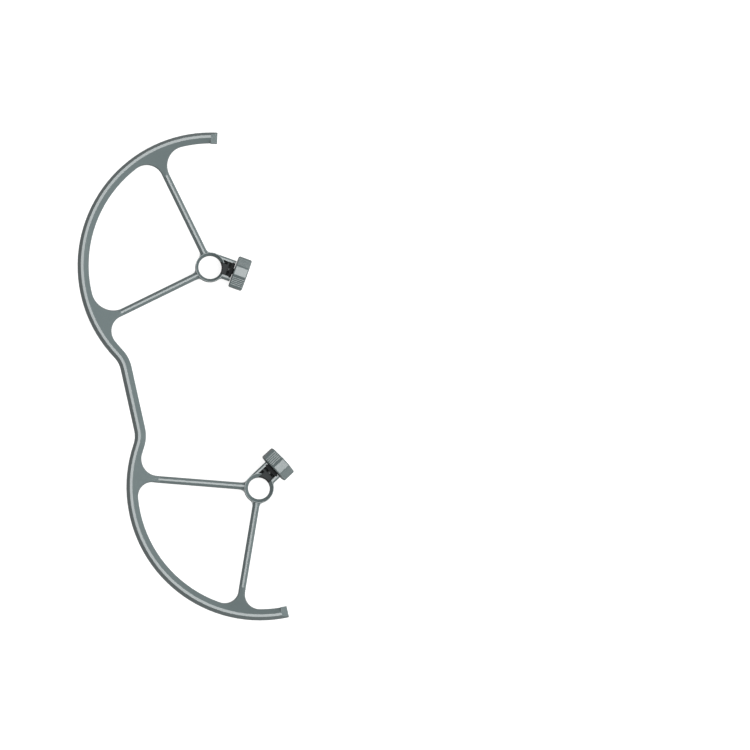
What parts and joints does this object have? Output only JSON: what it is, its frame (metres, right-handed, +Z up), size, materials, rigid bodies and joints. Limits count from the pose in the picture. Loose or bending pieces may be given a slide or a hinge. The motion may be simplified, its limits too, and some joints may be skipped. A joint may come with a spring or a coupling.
{
  "type": "drone propeller guard",
  "caption": "Left side propeller guard: one moulded rim with two arcs joined by a link, struts to two clamp rings, each tightened by a hand knob.",
  "frame": {"origin": "on the front clamp ring's axis, at the ring's underside", "axes": "+Z up along the motor axes, +Y towards the drone's front, +X towards the drone's middle"},
  "size_m": [0.169, 0.3806, 0.0402],
  "materials": {
    "frame_plastic": "satin moulded grey plastic",
    "knob_plastic": "satin moulded grey plastic with fine grain",
    "shoe_plastic": "dark moulded plastic",
    "pad_rubber": "soft black rubber",
    "insert_plastic": "black hard plastic with a cut thread",
    "screw_steel": "zinc plated steel"
  },
  "bodies": {
    "guard": {"guard_frame": "frame_plastic", "front_thread_insert": "insert_plastic", "rear_thread_insert": "insert_plastic"},
    "front_shoe": {"front_clamp_shoe": "shoe_plastic", "front_shoe_pad": "pad_rubber"},
    "front_knob_and_screw": {"front_knob": "knob_plastic", "front_clamp_screw": "screw_steel"},
    "rear_shoe": {"rear_clamp_shoe": "shoe_plastic", "rear_shoe_pad": "pad_rubber"},
    "rear_knob_and_screw": {"rear_knob": "knob_plastic", "rear_clamp_screw": "screw_steel"}
  },
  "joints": [
    {"name": "front_shoe_slide", "type": "slide", "parent": "guard", "child": "front_shoe", "axis": [0.9397, -0.342, 0], "range_m": [-0.0004, 0.0016]},
    {"name": "front_knob_turn", "type": "hinge", "parent": "front_shoe", "child": "front_knob_and_screw", "pos_m": [0.02279, -0.00462, 0.005], "axis": [0.9397, -0.342, 0], "range_deg": [-180, 720]},
    {"name": "rear_shoe_slide", "type": "slide", "parent": "guard", "child": "rear_shoe", "axis": [0.729, 0.6845, 0], "range_m": [-0.0004, 0.0016]},
    {"name": "rear_knob_turn", "type": "hinge", "parent": "rear_shoe", "child": "rear_knob_and_screw", "pos_m": [0.05223, -0.15435, 0.005], "axis": [0.729, 0.6845, 0], "range_deg": [-180, 720]}
  ],
  "couplings": [
    {"joint": "front_shoe_slide", "follows": "front_knob_turn", "m_per_rad": 0.00012732},
    {"joint": "rear_shoe_slide", "follows": "rear_knob_turn", "m_per_rad": 0.00012732}
  ]
}
